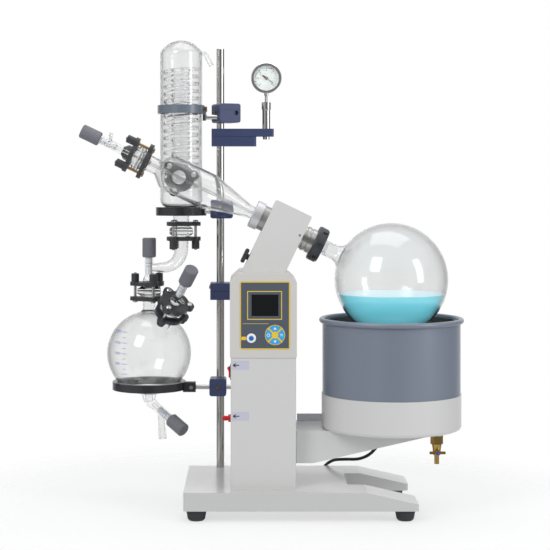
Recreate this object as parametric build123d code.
from build123d import *
import math
import os

# Bench rotary evaporator, in millimetres, +Z up.
# Working frame: X to the right, Y away from the front edge of the base, Z up from the bench.
# The parts are moved to the bottom centre of the whole object when they are written.

# Fits
GAP = 0.3
RUNNING = 0.05
TRIM_GAP = 0.15

# Base tray and feet
BASE_LEFT = -125.0
BASE_RIGHT = 320.0
BASE_DEPTH = 280.0
BASE_TOP = 56.0
BASE_RADIUS = 5.0
SLOPE_START = 222.0
END_HEIGHT = 34.0
TRAY_WALL = 2.5
NOTCH_LEFT = 190.0
NOTCH_FRONT = 82.0
NOTCH_BACK = 196.0
FOOT_HEIGHT = 21.0
FOOT_TOP_R = 20.0
FOOT_BOTTOM_R = 16.5
FOOT_INSET = 24.0
FOOT_FRONT = 24.0

# Cabinet and its upper housing
CABINET_LEFT = -36.0
CABINET_RIGHT = 89.0
CABINET_FRONT = 35.0
CABINET_BACK = 240.0
CABINET_TOP = 307.0
CABINET_WALL = 2.5
HOUSING_PROUD = 1.5
HOUSING_TOP = 468.0
HOUSING_WALL = 3.0
SHOULDER_WIDTH = 17.0
SHOULDER_DROP = 16.0

# Control panel on the front of the housing
PANEL_WIDTH = 96.0
PANEL_HEIGHT = 130.0
PANEL_CENTRE_X = 29.5
PANEL_BOTTOM = 323.0
PANEL_THICK = 2.0
PANEL_SINK = 1.5
PANEL_RADIUS = 6.0
PANEL_REBATE = 6.0
SCREEN_WIDTH = 55.2
SCREEN_HEIGHT = 43.9
SCREEN_X = 29.3
SCREEN_Z = 407.0
SCREEN_SINK = 0.8
BOARD_THICK = 1.6
BOARD_STANDOFF = 1.5
PAD_X = 48.7
PAD_Z = 350.7
KEY_OUTER_R = 17.6
KEY_INNER_R = 7.2
KEY_RIB = 1.5
KEY_PROUD = 0.8
KEY_TRAVEL = 0.6
BUTTON_X = 3.4
BUTTON_Z = 344.6
BUTTON_R = 4.4
BUTTON_RING_R = 9.0
BUTTON_PROUD = 3.4
RING_PROUD = 2.2
BUTTON_TRAVEL = 2.0

# Spin axis of the evaporating flask: it falls to the right
TILT = 25.7
FLASK_X = 278.4
FLASK_Y = 118.0
FLASK_Z = 451.2
FLASK_R = 111.0
GLASS_WALL = 3.0
NECK_R = 15.25
NECK_WALL = 2.2
NECK_BLEND = 18.0

# Places along the spin axis, counted from the centre of the flask, negative to the upper left
NECK_END = -191.0
BEAD_FRONT = -152.2
BEAD_BACK = -157.9
BEAD_R = 22.0
NUT_FRONT = -149.2
NUT_BACK = -170.4
NUT_R = 35.0
NUT_SLOTS = 8
NOSE_R = 25.0
NOSE_FRONT = -158.0
HEAD_FRONT = -195.4
HEAD_BACK = -271.4
COLLAR_BACK = -284.0
DUCT_NUT_BACK = -301.5
DUCT_NUT_R = 28.0
COLLAR_R = 25.0

# Head housing
HEAD_ABOVE_AXIS = 44.0
HEAD_DEPTH = 96.0
HEAD_WALL = 5.0
HEAD_RADIUS = 4.0
SPINDLE_R = 20.0
DUCT_R = 11.0
DUCT_WALL = 2.0
BEARING_R = 26.0
BEARING_WIDTH = 7.0
BOSS_WALL = 4.0
GEAR_MODULE = 1.5
GEAR_TEETH = 48
PINION_TEETH = 16
GEAR_FRONT = -212.0
GEAR_WIDTH = 14.0
MOTOR_R = 17.0
MOTOR_LENGTH = 35.0
LOCK_KNOB_DROP = 82.0
LOCK_KNOB_R = 15.0

# Flanged glass joints
PLATE_THICK = 8.0
PLATE_R = 30.0
LOBE_R = 10.5
BOLT_CIRCLE = 29.5
BOLT_R = 3.0
FLANGE_R = 25.0
FLANGE_THICK = 10.0
SEAL_THICK = 2.4
NUT_KNOB_R = 8.0
NUT_KNOB_LENGTH = 17.0
SHORT_NUT = 9.0

# Vapour tee on the spin axis
TEE_TUBE_R = 13.0
TEE_R = 36.0
TEE_WALL = 2.5
TEE_CONE_START = -312.0
TEE_CONE_END = -397.0
TEE_SHOULDER = -493.0
TEE_NECK = -509.0
TEE_NECK_R = 16.0
FEED_JOINT = -550.2
BRANCH = -464.6
BRANCH_R = 16.5
BRANCH_LENGTH = 12.0
FEED_TUBE_R = 3.0
FEED_TUBE_END = -300.0

# Condenser and receiver stand on one vertical line of glass
GLASS_Y = 252.0
CONDENSER_X = -140.2
CONDENSER_R = 43.0
CONDENSER_BOTTOM = 592.0
CONDENSER_TOP = 934.0
DOME_RISE = 24.0
HOOK_BEND = 9.0
HOOK_R = 5.0
COIL_R = 33.0
COIL_TUBE_R = 4.0
COIL_TURNS = 17
INNER_COIL_R = 18.0
INNER_COIL_TUBE_R = 3.0
INNER_COIL_TURNS = 25
COIL_BOTTOM = CONDENSER_BOTTOM + 32
COIL_TOP = CONDENSER_TOP - 55
LOWER_JOINT = 542.5
TRANSFER_BEND_R = 37.0
TRANSFER_Z = 468.0
TRANSFER_END_R = 8.0
RECEIVER_X = -206.0
RECEIVER_Z = 292.6
RECEIVER_R = 86.0
RECEIVER_NECK_R = 13.0
RECEIVER_JOINT = 419.5
SIDE_DIRECTION = Vector(0.38, -0.56, 0.73)
SIDE_JOINT = 134.0
VALVE_R = 8.7
VALVE_BORE = 6.2
KNOB_R = 14.0
KNOB_LENGTH = 40.0
STEM_LENGTH = 34.0
VENT_KNOB_Z = 489.0
SIDE_TURN = 48.0
SIDE_VALVE = 71.0
SIDE_KNOB = SIDE_JOINT + SIDE_VALVE
FEED_VALVE = 84.8
FEED_KNOB = FEED_JOINT - FEED_VALVE
DRAIN_DIRECTION = Vector(0.69, -0.52, -0.50)
DRAIN_X = -198.0
DRAIN_Z = 188.0
DRAIN_VALVE = 55.0
DRAIN_TUBE_R = 7.0
OUTLET_BOTTOM = 119.0
HOSE_COLLAR_R = 8.2
HOSE_COLLAR_LENGTH = 19.0

# Pole, clamps and rings
POLE_X = -60.0
POLE_Y = 264.0
POLE_R = 8.0
POLE_TOP = 918.0
ROD_R = 5.0
ROD_Y = 243.0
SCREW_R = 2.0
SCREW_LENGTH = 6.0
CLAMP_WIDTH = 46.0
CLAMP_DEPTH = 46.0
CLAMP_TURN = 23.0
UPPER_RING_Z = 783.5
UPPER_RING_HEIGHT = 17.0
UPPER_ROD_Z = 776.0
LOWER_RING_R = 52.0
LOWER_RING_HEIGHT = 17.0
RECEIVER_RING_R = 75.0
RECEIVER_RING_TOP = 235.0
RECEIVER_RING_HEIGHT = 16.0
RECEIVER_ROD_Z = 224.0

# Vacuum gauge on its bracket
BRACKET_LEFT = -78.0
BRACKET_RIGHT = 14.0
BRACKET_TIP = 50.0
BRACKET_TOP = 753.0
BRACKET_STEP = BRACKET_TOP - 16
BRACKET_BOTTOM = BRACKET_TOP - 36
BRACKET_DEPTH = 32.0
GAUGE_X = 34.5
GAUGE_Z = BRACKET_TOP + 104
GAUGE_R = 31.5
GAUGE_DEPTH = 30.0
GAUGE_TUBE_R = 8.3
GAUGE_TUBE_TOP = BRACKET_TOP + 55
DIAL_R = 26.0

# Bath, its arm and the lift
BATH_RIM_R = 141.6
BATH_R = 135.0
BATH_RIM_Z = 372.0
BATH_RIM_BEAD = 5.2
BATH_BASE_R = 136.5
BATH_BASE_TOP = 229.0
POT_WALL = 2.0
LINER_R = 128.0
LINER_WALL = 1.5
LINER_FLOOR = 240.0
ARM_TOP = 161.0
ARM_BOTTOM = 99.0
ARM_LEFT = 90.0
ARM_KNEE = 123.0
ARM_TIP = 341.0
ARM_TIP_Z = 149.0
ARM_FRONT = 72.0
ARM_BACK = 208.0
ARM_WALL = 3.0
HEATER_RING_R = 92.0
HEATER_TUBE_R = 4.0
TAP_X = 358.0
TAP_Y = 40.0
TAP_HANDLE_Z = 127.0
TAP_BOTTOM = 104.0
LIFT_TRAVEL = 85.0
GUIDE_R = 6.0
GUIDE_X = 40.0
GUIDE_FRONT = 112.0
GUIDE_BACK = 168.0
PUSH_ROD_R = 5.0
CARRIAGE_BOTTOM = 104.0
CARRIAGE_TOP = 154.0
BRIDGE_THICK = 6.0

# Bath lead
LEAD_R = 3.2
LEAD_ROUTE = [
    (266.0, 184.0, 127.0),
    (252.0, 196.0, 100.0),
    (226.0, 218.0, 80.0),
    (194.0, 244.0, 76.0),
    (168.0, 278.0, 68.0),
    (148.0, 300.0, 42.0),
    (114.0, 308.0, 14.0),
    (80.0, 306.0, 18.0),
    (56.0, 302.0, 38.0),
    (48.0, 290.0, 66.0),
    (46.0, 268.0, 84.0),
    (46.0, 241.0, 84.0),
]
GLAND_R = 7.0
GLAND_LENGTH = 10.0

UP = Vector(0, 0, 1)
SLOPE = Vector(math.cos(math.radians(TILT)), 0, -math.sin(math.radians(TILT)))
FLASK_CENTRE = Vector(FLASK_X, FLASK_Y, FLASK_Z)
HOUSING_FRONT = CABINET_FRONT - HOUSING_PROUD
PANEL_FRONT = HOUSING_FRONT + PANEL_SINK - PANEL_THICK
BOARD_FRONT = HOUSING_FRONT + HOUSING_WALL + BOARD_STANDOFF


def along(origin, direction, reach=0.0):
    """Placement whose local Z runs along direction, reach mm from origin."""
    spot = Vector(*origin) + direction.normalized() * reach
    side = Vector(0, 1, 0) if abs(direction.normalized().Y) < 0.9 else Vector(1, 0, 0)
    return Plane(origin=spot, x_dir=side, z_dir=direction).location


def spin(reach):
    """Placement on the spin axis, local Z towards the flask."""
    return along(FLASK_CENTRE, SLOPE, reach)


def turned(outline, place=Location()):
    """Solid of revolution from (radius, height) points about local Z."""
    face = make_face(Polyline(*[(r, 0, h) for r, h in outline], close=True))
    return place * revolve(face, Axis.Z, 360)


def ring(outer, inner, low, high, place=Location()):
    """Plain tube between two heights."""
    points = [(inner, low), (outer, low), (outer, high), (inner, high)]
    return turned(points, place)


def rod(radius, low, high, place=Location()):
    """Plain round bar between two heights."""
    return ring(radius, 0, low, high, place)


def block(x0, x1, y0, y1, z0, z1):
    """Box from its limits."""
    size = Box(x1 - x0, y1 - y0, z1 - z0)
    return Pos((x0 + x1) / 2, (y0 + y1) / 2, (z0 + z1) / 2) * size


def front_shape(points, y0, y1):
    """Prism of an (x, z) outline between two depths."""
    face = make_face(Polyline(*[(x, y0, z) for x, z in points], close=True))
    return extrude(face, amount=y1 - y0, dir=(0, 1, 0))


def blown(outer, inner):
    """Glass shell: half of a flat outline less its bore, turned about the sketch's Y axis."""
    reach = 2000
    half = Pos(reach / 2, 0) * Rectangle(reach, 2 * reach)
    wall = (outer - inner) & half
    return revolve(Plane.XZ * wall, Axis.Z, 360)


def group(*solids):
    """Several separate solids in one node."""
    return Compound([s for item in solids for s in item.solids()])


# Base

def base_outline(inset, bottom):
    """Front outline of the tray: flat top that falls away to a low right end."""
    return [
        (BASE_LEFT + inset, bottom),
        (BASE_RIGHT - inset, bottom),
        (BASE_RIGHT - inset, END_HEIGHT - inset),
        (SLOPE_START, BASE_TOP - inset),
        (BASE_LEFT + inset, BASE_TOP - inset),
    ]


def foot_places():
    """The four feet: two under the left end, one under each prong of the right end."""
    xs = (BASE_LEFT + FOOT_INSET, BASE_RIGHT - FOOT_INSET)
    ys = (FOOT_FRONT, BASE_DEPTH - FOOT_FRONT - 8)
    return [(x, y) for x in xs for y in ys]


def make_base():
    """Open-bottomed steel tray with a notch in its right end and a boss over each foot."""
    outer = front_shape(base_outline(0, FOOT_HEIGHT), 0, BASE_DEPTH)
    notch = block(NOTCH_LEFT, BASE_RIGHT + 10, NOTCH_FRONT, NOTCH_BACK, 0, BASE_TOP + 10)
    outer = outer - notch
    outer = fillet(outer.edges().filter_by(Axis.Z), BASE_RADIUS)
    wall = TRAY_WALL
    inner = front_shape(base_outline(wall, FOOT_HEIGHT - 1), wall, BASE_DEPTH - wall)
    inner -= block(
        NOTCH_LEFT - wall, BASE_RIGHT + 10, NOTCH_FRONT - wall, NOTCH_BACK + wall, 0, BASE_TOP + 10
    )
    tray = outer - inner
    for x, y in foot_places():
        tray += outer & Pos(x, y, 0) * rod(FOOT_BOTTOM_R, FOOT_HEIGHT, BASE_TOP - 1)
    return tray


def make_feet():
    """Tapered rubber feet with a rounded lower edge."""
    outline = [
        (0, 0),
        (FOOT_BOTTOM_R - 3, 0),
        (FOOT_BOTTOM_R, 3),
        (FOOT_TOP_R, FOOT_HEIGHT),
        (0, FOOT_HEIGHT),
    ]
    return group(*[turned(outline, Pos(x, y, 0)) for x, y in foot_places()])


# Cabinet

def slot_cut():
    """Slot in the right wall that the lift carriage's neck travels in."""
    return block(
        CABINET_RIGHT - 10,
        CABINET_RIGHT + 10,
        neck_front() - 4,
        neck_back() + 4,
        CARRIAGE_BOTTOM - 4,
        CARRIAGE_TOP + LIFT_TRAVEL + 4,
    )


def neck_front():
    return GUIDE_FRONT + 6


def neck_back():
    return GUIDE_BACK - 6


SWITCH_Y = 70.0
SWITCH_Z = 276.0
SWITCH_HEIGHT = 29.5
SWITCH_WIDTH = 15.0
FUSE_Z = 186.5
FUSE_R = 7.4
FUSE_CAP_R = 4.8
INLET_X = 0.0
INLET_Z = 96.0
INLET_WIDTH = 28.0
INLET_HEIGHT = 20.0


def make_cabinet():
    """Lower casing: folded sheet box, open at the top where the housing caps it."""
    wall = CABINET_WALL
    shell = block(CABINET_LEFT, CABINET_RIGHT, CABINET_FRONT, CABINET_BACK, BASE_TOP, CABINET_TOP)
    shell = fillet(shell.edges().filter_by(Axis.Z), 3)
    shell -= block(
        CABINET_LEFT + wall,
        CABINET_RIGHT - wall,
        CABINET_FRONT + wall,
        CABINET_BACK - wall,
        BASE_TOP + wall,
        CABINET_TOP + 1,
    )
    shell -= slot_cut()
    half_h = SWITCH_HEIGHT / 2 - 1.5 + TRIM_GAP
    half_w = SWITCH_WIDTH / 2 - 1.5 + TRIM_GAP
    shell -= block(
        CABINET_LEFT - 1,
        CABINET_LEFT + wall + 1,
        SWITCH_Y - half_w,
        SWITCH_Y + half_w,
        SWITCH_Z - half_h,
        SWITCH_Z + half_h,
    )
    side = along((CABINET_LEFT, SWITCH_Y, FUSE_Z), Vector(-1, 0, 0))
    shell -= rod(FUSE_CAP_R + 1 + TRIM_GAP, -wall - 1, 1, side)
    shell -= block(
        INLET_X - INLET_WIDTH / 2 - TRIM_GAP,
        INLET_X + INLET_WIDTH / 2 + TRIM_GAP,
        CABINET_BACK - wall - 1,
        CABINET_BACK + 1,
        INLET_Z - INLET_HEIGHT / 2 - TRIM_GAP,
        INLET_Z + INLET_HEIGHT / 2 + TRIM_GAP,
    )
    end = Vector(*LEAD_ROUTE[-1])
    shell += rod(GLAND_R, -1, GLAND_LENGTH, along((end.X, CABINET_BACK, end.Z), Vector(0, 1, 0)))
    return shell - rod(LEAD_R + TRIM_GAP, 0, GLAND_LENGTH + 1, along(end, Vector(0, 1, 0)))


def housing_outline(inset, bottom):
    """Front outline of the upper housing with its two sloping shoulders."""
    left = CABINET_LEFT - HOUSING_PROUD + inset
    right = CABINET_RIGHT + HOUSING_PROUD - inset
    top = HOUSING_TOP - inset
    cut = inset * math.tan(math.radians(22.5))
    return [
        (left, bottom),
        (right, bottom),
        (right, top - SHOULDER_DROP + cut),
        (right - SHOULDER_WIDTH + cut, top),
        (left + SHOULDER_WIDTH - cut, top),
        (left, top - SHOULDER_DROP + cut),
    ]


def panel_outline(grow, y0, y1):
    """Panel-shaped plate, grown by a margin, between two depths."""
    centre_z = PANEL_BOTTOM + PANEL_HEIGHT / 2
    face = RectangleRounded(PANEL_WIDTH + 2 * grow, PANEL_HEIGHT + 2 * grow, PANEL_RADIUS)
    place = Plane(origin=(PANEL_CENTRE_X, y0, centre_z), x_dir=(1, 0, 0), z_dir=(0, 1, 0))
    return extrude(place * face, amount=y1 - y0)


def make_housing():
    """Upper housing: a hollow cap with a pocket for the panel and a way into the head."""
    front = HOUSING_FRONT
    back = CABINET_BACK + HOUSING_PROUD
    wall = HOUSING_WALL
    shell = front_shape(housing_outline(0, CABINET_TOP), front, back)
    shell = fillet(shell.edges().filter_by(Axis.Y), 2.5)
    shell -= front_shape(housing_outline(wall, CABINET_TOP - 1), front + wall, back - wall)
    shell -= panel_outline(TRIM_GAP, front - 1, front + PANEL_SINK)
    shell -= panel_outline(-PANEL_REBATE, front - 1, front + wall + 1)
    duct = Pos(head_foot_x(), FLASK_Y, 0) * rod(22, HOUSING_TOP - wall - 1, HOUSING_TOP + 1)
    return shell - duct


def quadrant(angle, margin):
    """One of the four key shapes of the round pad, grown by a margin, as a flat sketch."""
    pad = Circle(KEY_OUTER_R + margin) - Circle(KEY_INNER_R - margin)
    wedge = Pos(0, 2 * KEY_RIB - 1.5 * margin) * Rot(0, 0, 45) * Pos(20, 20) * Rectangle(40, 40)
    return Rot(0, 0, angle) * (pad & wedge)


def on_front(x, z, y):
    """Sketch plane on the front of the object; local X to the right, local Y up."""
    return Plane(origin=(x, y, z), x_dir=(1, 0, 0), z_dir=(0, -1, 0))


def make_panel():
    """Slate face plate with a window, four key holes and the raised ring of the push-button."""
    plate = panel_outline(0, PANEL_FRONT, PANEL_FRONT + PANEL_THICK)
    deep = PANEL_THICK + 2
    back = PANEL_FRONT + PANEL_THICK + 1
    window = Rectangle(SCREEN_WIDTH, SCREEN_HEIGHT)
    plate -= extrude(on_front(SCREEN_X, SCREEN_Z, back) * window, amount=deep)
    for angle in (0, 90, 180, 270):
        hole = on_front(PAD_X, PAD_Z, back) * quadrant(angle, GAP)
        plate -= extrude(hole, amount=deep)
    place = along((BUTTON_X, PANEL_FRONT, BUTTON_Z), Vector(0, -1, 0))
    plate -= rod(BUTTON_RING_R - 1.4, -PANEL_THICK - 1, 1, place)
    bore = BUTTON_R + GAP
    ring_outline = [
        (bore, -PANEL_THICK),
        (BUTTON_RING_R - 1.5, -PANEL_THICK),
        (BUTTON_RING_R - 1.5, 0),
        (BUTTON_RING_R, 0),
        (BUTTON_RING_R, 0.6 * RING_PROUD),
        (BUTTON_RING_R - 1.5, RING_PROUD),
        (bore, RING_PROUD),
    ]
    return group(plate, turned(ring_outline, place))


def make_display():
    """Display module: screen block in the window, circuit board behind on four standoffs."""
    front = PANEL_FRONT + SCREEN_SINK
    screen = block(
        SCREEN_X - SCREEN_WIDTH / 2 + GAP,
        SCREEN_X + SCREEN_WIDTH / 2 - GAP,
        front,
        BOARD_FRONT,
        SCREEN_Z - SCREEN_HEIGHT / 2 + GAP,
        SCREEN_Z + SCREEN_HEIGHT / 2 - GAP,
    )
    half_w = PANEL_WIDTH / 2
    half_h = PANEL_HEIGHT / 2
    middle = PANEL_BOTTOM + half_h
    board = block(
        PANEL_CENTRE_X - half_w,
        PANEL_CENTRE_X + half_w,
        BOARD_FRONT,
        BOARD_FRONT + BOARD_THICK,
        middle - half_h,
        middle + half_h,
    )
    inset = PANEL_REBATE / 2
    for dx in (-half_w + inset, half_w - inset):
        for dz in (-half_h + inset, half_h - inset):
            spot = along((PANEL_CENTRE_X + dx, BOARD_FRONT, middle + dz), Vector(0, -1, 0))
            board += rod(2.4, 0, BOARD_STANDOFF, spot)
    relay = block(
        PANEL_CENTRE_X - 20,
        PANEL_CENTRE_X + 20,
        BOARD_FRONT + BOARD_THICK,
        BOARD_FRONT + BOARD_THICK + 16,
        PANEL_BOTTOM + 10,
        PANEL_BOTTOM + 40,
    )
    return board + screen + relay


def make_key(angle):
    """One key of the round pad, standing just proud of the panel."""
    back = BOARD_FRONT - KEY_TRAVEL - GAP
    face = on_front(PAD_X, PAD_Z, back) * quadrant(angle, 0)
    return extrude(face, amount=back - PANEL_FRONT + KEY_PROUD)


def make_button():
    """Domed push-button cap on its stem."""
    place = along((BUTTON_X, PANEL_FRONT, BUTTON_Z), Vector(0, -1, 0))
    back = -(BOARD_FRONT - PANEL_FRONT) + BUTTON_TRAVEL + GAP
    outline = [
        (0, back),
        (BUTTON_R, back),
        (BUTTON_R, BUTTON_PROUD - 1),
        (BUTTON_R - 1, BUTTON_PROUD - 0.2),
        (0, BUTTON_PROUD + 0.2),
    ]
    return turned(outline, place)


# Mains fittings

def make_switch_frame():
    """Black frame of the rocker switch, with a pocket for the rocker."""
    height = SWITCH_HEIGHT
    width = SWITCH_WIDTH
    wall = CABINET_LEFT
    y0 = SWITCH_Y - width / 2
    y1 = SWITCH_Y + width / 2
    z0 = SWITCH_Z - height / 2
    z1 = SWITCH_Z + height / 2
    frame = block(wall - 1.5, wall, y0, y1, z0, z1)
    frame += block(wall, wall + 14, y0 + 1.5, y1 - 1.5, z0 + 1.5, z1 - 1.5)
    frame -= block(wall - 3, wall + 12, y0 + 3, y1 - 3, z0 + 3, z1 - 3)
    return frame


def rocker_pivot():
    """(x, z) of the rocker's hinge."""
    return CABINET_LEFT + 1, SWITCH_Z


def make_rocker():
    """Red rocker whose ends lie on a circle about its hinge, with the lower end pressed in."""
    reach = SWITCH_HEIGHT / 2 - 3 - GAP
    x, z = rocker_pivot()
    outline = [(x - 5.2, z + 0.8)]
    for side, angles in ((1, (48, 30, 12, -6)), (-1, (-24, -6, 12, 28))):
        for angle in angles:
            turn = math.radians(angle)
            outline.append((x - reach * math.sin(turn), z + side * reach * math.cos(turn)))
    half_w = SWITCH_WIDTH / 2 - 3 - GAP
    return front_shape(outline, SWITCH_Y - half_w, SWITCH_Y + half_w)


def make_fuse():
    """Red fuse holder: a collar on the wall and a narrower cap."""
    place = along((CABINET_LEFT, SWITCH_Y, FUSE_Z), Vector(-1, 0, 0))
    body = FUSE_CAP_R + 1
    outline = [
        (0, -16),
        (body, -16),
        (body, 0),
        (FUSE_R, 0),
        (FUSE_R, 5),
        (FUSE_CAP_R - 0.6, 5.6),
        (FUSE_CAP_R - 0.6, 7),
        (FUSE_CAP_R, 7.6),
        (FUSE_CAP_R, 15),
        (FUSE_CAP_R - 0.8, 16.5),
        (0, 16.5),
    ]
    return turned(outline, place)


def make_inlet():
    """Mains inlet on the back: flange, body and an open socket with three blades."""
    y = CABINET_BACK
    half_w = INLET_WIDTH / 2
    half_h = INLET_HEIGHT / 2
    flange = block(INLET_X - half_w - 8, INLET_X + half_w + 8, y, y + 3, INLET_Z - half_h - 3, INLET_Z + half_h + 3)
    body = block(INLET_X - half_w, INLET_X + half_w, y - 18, y, INLET_Z - half_h, INLET_Z + half_h)
    socket = block(INLET_X - half_w + 2, INLET_X + half_w - 2, y - 14, y + 4, INLET_Z - half_h + 2, INLET_Z + half_h - 2)
    shell = flange + body - socket
    for dx, dz in ((-7, -2), (0, 3), (7, -2)):
        shell += block(INLET_X + dx - 1, INLET_X + dx + 1, y - 14, y - 2, INLET_Z + dz - 2, INLET_Z + dz + 2)
    return shell


# Head

def head_point(reach, rise):
    """(x, z) of a point given along the spin axis and square to it."""
    spot = FLASK_CENTRE + SLOPE * reach + Vector(-SLOPE.Z, 0, SLOPE.X) * rise
    return spot.X, spot.Z


def head_drop(reach):
    """Rise, square to the axis, at which the head's side meets the housing top."""
    return (HOUSING_TOP - (FLASK_CENTRE + SLOPE * reach).Z) / SLOPE.X


def head_foot_x():
    """Middle of the head's footprint on the housing."""
    left = head_point(HEAD_BACK, head_drop(HEAD_BACK))[0]
    right = head_point(HEAD_FRONT, head_drop(HEAD_FRONT))[0]
    return (left + right) / 2


def head_outline(inset):
    """Front outline of the head, inset all round except at its foot."""
    back = HEAD_BACK + inset
    front = HEAD_FRONT - inset
    return [
        head_point(back, head_drop(back)),
        head_point(front, head_drop(front)),
        head_point(front, HEAD_ABOVE_AXIS - inset),
        head_point(back, HEAD_ABOVE_AXIS - inset),
    ]


def make_head():
    """Cast head: hollow, with two bearing bosses on the spin axis and a foot on the housing."""
    y0 = FLASK_Y - HEAD_DEPTH / 2
    y1 = FLASK_Y + HEAD_DEPTH / 2
    body = front_shape(head_outline(0), y0, y1)
    upper = body.edges().filter_by(Axis.Y).group_by(Axis.Z)[-2:]
    body = fillet([e for level in upper for e in level], HEAD_RADIUS)
    body -= front_shape(head_outline(HEAD_WALL), y0 + HEAD_WALL, y1 - HEAD_WALL)
    boss_r = BEARING_R + BOSS_WALL
    back_in = HEAD_BACK + HEAD_WALL
    front_in = HEAD_FRONT - HEAD_WALL
    body += rod(boss_r, back_in, back_in + BEARING_WIDTH, spin(0))
    body += rod(boss_r, front_in - BEARING_WIDTH, front_in, spin(0))
    body -= rod(SPINDLE_R + 1, HEAD_BACK - 5, HEAD_FRONT + 5, spin(0))
    body -= rod(BEARING_R, back_in, back_in + BEARING_WIDTH + 1, spin(0))
    body -= rod(BEARING_R, front_in - BEARING_WIDTH - 1, front_in, spin(0))
    x, z = head_point(HEAD_FRONT - 6, 1)
    body -= rod(2.7, -4, 1, along((x, y0, z), Vector(0, -1, 0)))
    knob_x, knob_z = head_point(HEAD_BACK, -LOCK_KNOB_DROP)
    body -= rod(4 + RUNNING, -8, 1, along((knob_x, FLASK_Y, knob_z), -SLOPE))
    return body


def make_bearings():
    """Two thin ball bearings, each an outer and an inner race joined through its balls."""
    out = []
    width = BEARING_WIDTH
    for low in (HEAD_BACK + HEAD_WALL, HEAD_FRONT - HEAD_WALL - BEARING_WIDTH):
        place = spin(low)
        race = ring(BEARING_R, BEARING_R - 2, 0, width, place)
        race += ring(SPINDLE_R + RUNNING + 2, SPINDLE_R + RUNNING, 0, width, place)
        race += ring(BEARING_R - 1.5, SPINDLE_R + RUNNING + 1.5, 2, width - 2, place)
        out.append(race)
    return group(*out)


def make_spindle():
    """Hollow steel spindle whose threaded nose carries the flask nut."""
    bore = DUCT_R + GAP
    socket = NECK_R + GAP
    outline = [
        (bore, HEAD_BACK - 0.0),
        (SPINDLE_R, HEAD_BACK),
        (SPINDLE_R, HEAD_FRONT + GAP),
        (NOSE_R - 2, HEAD_FRONT + GAP),
        (NOSE_R - 2, HEAD_FRONT + 5),
        (NOSE_R, HEAD_FRONT + 6),
        (NOSE_R, HEAD_FRONT + 12),
        (NOSE_R - 2, HEAD_FRONT + 13),
        (NOSE_R - 2, HEAD_FRONT + 15),
        (NOSE_R, HEAD_FRONT + 16),
        (NOSE_R, NOSE_FRONT),
        (socket, NOSE_FRONT),
        (socket, NECK_END - GAP),
        (bore, NECK_END - GAP),
    ]
    return turned(outline, spin(0))


def gear_sketch(teeth, bore, turn=0.0):
    """Spur gear outline with straight-flanked teeth."""
    pitch = GEAR_MODULE * teeth / 2
    tip = pitch + 0.9 * GEAR_MODULE
    root = pitch - 1.2 * GEAR_MODULE
    step = 360 / teeth
    spots = []
    for n in range(teeth):
        for radius, part in ((root, -0.34), (tip, -0.14), (tip, 0.14), (root, 0.34)):
            angle = math.radians(turn + (n + part) * step)
            spots.append((radius * math.cos(angle), radius * math.sin(angle)))
    return make_face(Polyline(*spots, close=True)) - Circle(bore)


def pinion_place(reach):
    """Placement on the motor axis, square below the spin axis."""
    spacing = GEAR_MODULE * (GEAR_TEETH + PINION_TEETH) / 2
    below = Vector(SLOPE.Z, 0, -SLOPE.X) * spacing
    return along(FLASK_CENTRE + below, SLOPE, reach)


def make_gear():
    """Drive gear on the spindle, with a web."""
    wheel = extrude(gear_sketch(GEAR_TEETH, SPINDLE_R), amount=GEAR_WIDTH)
    return spin(GEAR_FRONT - GEAR_WIDTH) * wheel


def make_pinion():
    """Motor pinion in mesh below the gear, on its stub shaft."""
    half_tooth = 180 / PINION_TEETH
    wheel = extrude(gear_sketch(PINION_TEETH, 0.01, half_tooth), amount=GEAR_WIDTH)
    wheel = pinion_place(GEAR_FRONT - GEAR_WIDTH) * wheel
    return wheel + rod(3, HEAD_BACK + HEAD_WALL + MOTOR_LENGTH - 8, GEAR_FRONT, pinion_place(0))


def make_motor():
    """Drive motor, seated on the inner face of the head's back wall."""
    start = HEAD_BACK + HEAD_WALL
    can = rod(MOTOR_R, start, start + MOTOR_LENGTH - 3, pinion_place(0))
    face = rod(MOTOR_R - 4, start + MOTOR_LENGTH - 3, start + MOTOR_LENGTH, pinion_place(0))
    shaft_hole = rod(3 + RUNNING, start + MOTOR_LENGTH - 9, start + MOTOR_LENGTH + 1, pinion_place(0))
    return can + face - shaft_hole


def make_duct_nut():
    """Grey nut and steel collar that hold the glass tee against the back of the head."""
    bead = TEE_TUBE_R + 5 + GAP
    collar = ring(COLLAR_R, TEE_R * 0.6, COLLAR_BACK, HEAD_BACK, spin(0))
    front = COLLAR_BACK - 0.1
    outline = [
        (bead, front),
        (DUCT_NUT_R, front),
        (DUCT_NUT_R, DUCT_NUT_BACK + 2),
        (DUCT_NUT_R - 2, DUCT_NUT_BACK),
        (TEE_TUBE_R + GAP, DUCT_NUT_BACK),
        (TEE_TUBE_R + GAP, COLLAR_BACK - 6),
        (bead, COLLAR_BACK - 6),
    ]
    return group(collar, turned(outline, spin(0)))


def make_lock_knob():
    """Black clamp knob on the back of the head, with its stud in the casting."""
    x, z = head_point(HEAD_BACK, -LOCK_KNOB_DROP)
    place = along((x, FLASK_Y, z), -SLOPE)
    radius = LOCK_KNOB_R
    star = Circle(radius)
    for n in range(6):
        star -= Rot(0, 0, 60 * n) * Pos(radius + 3, 0) * Circle(5)
    cap = turned([(0, 4), (radius - 2, 4), (radius, 6), (radius, 10), (radius - 2, 12), (0, 12)])
    cap &= extrude(star, amount=20)
    return place * (cap + rod(6, GAP, 4) + rod(4, -7, 4))


# Evaporating flask and duct

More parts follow.
